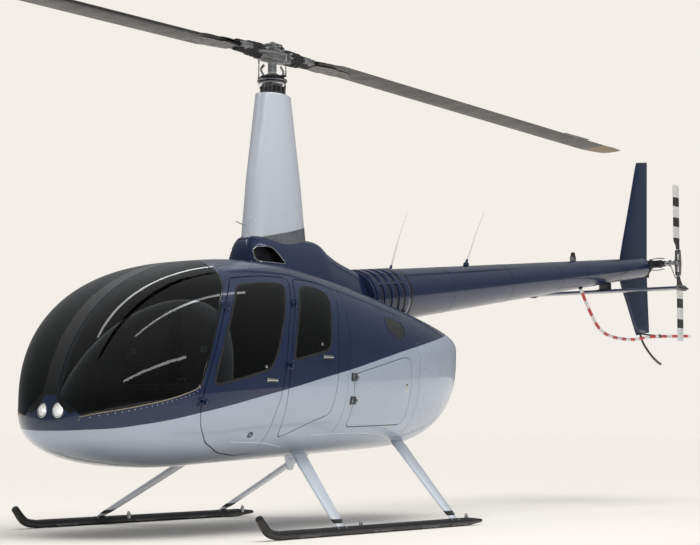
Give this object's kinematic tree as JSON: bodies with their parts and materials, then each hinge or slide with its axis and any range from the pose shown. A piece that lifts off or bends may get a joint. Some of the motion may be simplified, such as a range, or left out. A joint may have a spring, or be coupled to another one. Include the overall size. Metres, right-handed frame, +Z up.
{
  "type": "light turbine helicopter",
  "caption": "Light turbine helicopter with an enclosed cabin, hinged doors, a tall mast with a teetering main rotor, a tail boom with fin and tail rotor, and skid landing gear.",
  "frame": {"origin": "middle of the footprint, on the ground under the skids", "axes": "+X port, +Y aft, +Z up; the nose points to -Y"},
  "size_m": [2.194, 11.492, 3.475],
  "materials": {
    "light_paint": "gloss",
    "dark_paint": "gloss",
    "black_paint": "satin",
    "white_paint": "gloss",
    "glazing": "tinted",
    "steel": "satin",
    "trim": "matte",
    "leather": "grained",
    "lamp": "clear"
  },
  "bodies": {
    "airframe": {"baggage_bay": "trim", "cabin_floor": "trim", "cabin_shell": "dark_paint", "cyclic_stick": "black_paint", "engine_block": "steel", "engine_cowl": "light_paint", "exhaust_pipe": "steel", "firewall": "trim", "fixed_swashplate": "black_paint", "front_back_port": "leather", "front_back_starboard": "leather", "front_cushion_port": "leather", "front_cushion_starboard": "leather", "front_leg_port": "light_paint", "front_leg_starboard": "light_paint", "front_seat_base": "trim", "horizontal_stabiliser": "dark_paint", "instrument_console": "trim", "landing_lights": "lamp", "main_gearbox": "steel", "mast_base_fairing": "dark_paint", "mast_fairing": "light_paint", "rear_back_port": "leather", "rear_back_starboard": "leather", "rear_cushion_port": "leather", "rear_cushion_starboard": "leather", "rear_leg_port": "light_paint", "rear_leg_starboard": "light_paint", "rear_seat_base": "trim", "skid_port": "black_paint", "skid_starboard": "black_paint", "tail_gearbox": "dark_paint", "tail_rotor_guard": "white_paint", "tail_skid": "black_paint", "tailcone": "dark_paint", "vertical_fin": "dark_paint", "windshield_port": "glazing", "windshield_starboard": "glazing"},
    "main_rotor": {"rotor_shaft": "steel", "rotating_swashplate": "black_paint", "rotor_hub": "steel", "pitch_link_fore": "steel", "pitch_link_aft": "steel", "main_blade_fore": "black_paint", "main_blade_aft": "black_paint"},
    "tail_rotor": {"tail_rotor_hub": "steel", "tail_blade_up": "white_paint", "tail_blade_down": "white_paint"},
    "front_door_port_leaf": {"front_door_port": "dark_paint", "front_door_window_port": "glazing"},
    "front_door_starboard_leaf": {"front_door_starboard": "dark_paint", "front_door_window_starboard": "glazing"},
    "rear_door_port_leaf": {"rear_door_port": "dark_paint", "rear_door_window_port": "glazing"},
    "rear_door_starboard_leaf": {"rear_door_starboard": "dark_paint", "rear_door_window_starboard": "glazing"},
    "baggage_door_leaf": {"baggage_door": "light_paint"}
  },
  "joints": [
    {"name": "main_rotor_spin", "type": "hinge", "parent": "airframe", "child": "main_rotor", "pos_m": [0, -0.715, 3.385], "axis": [0, 0, 1], "continuous": true},
    {"name": "tail_rotor_spin", "type": "hinge", "parent": "airframe", "child": "tail_rotor", "pos_m": [0.356, 5.175, 2.307], "axis": [1, 0, 0], "continuous": true},
    {"name": "front_door_port_hinge", "type": "hinge", "parent": "airframe", "child": "front_door_port_leaf", "pos_m": [0.7163, -2.234, 0.849], "axis": [0.0561, -0.3892, -0.9195], "range_deg": [0, 80]},
    {"name": "front_door_starboard_hinge", "type": "hinge", "parent": "airframe", "child": "front_door_starboard_leaf", "pos_m": [-0.7163, -2.234, 0.849], "axis": [0.0561, 0.3892, 0.9195], "range_deg": [0, 80]},
    {"name": "rear_door_port_hinge", "type": "hinge", "parent": "airframe", "child": "rear_door_port_leaf", "pos_m": [0.76008, -1.427, 1.103], "axis": [0.1579, -0.2877, -0.9446], "range_deg": [0, 80]},
    {"name": "rear_door_starboard_hinge", "type": "hinge", "parent": "airframe", "child": "rear_door_starboard_leaf", "pos_m": [-0.76008, -1.427, 1.103], "axis": [0.1579, 0.2877, 0.9446], "range_deg": [0, 80]},
    {"name": "baggage_door_hinge", "type": "hinge", "parent": "airframe", "child": "baggage_door_leaf", "pos_m": [0.73253, -0.694, 0.88], "axis": [-0.076, 0, -0.9971], "range_deg": [0, 90]}
  ]
}
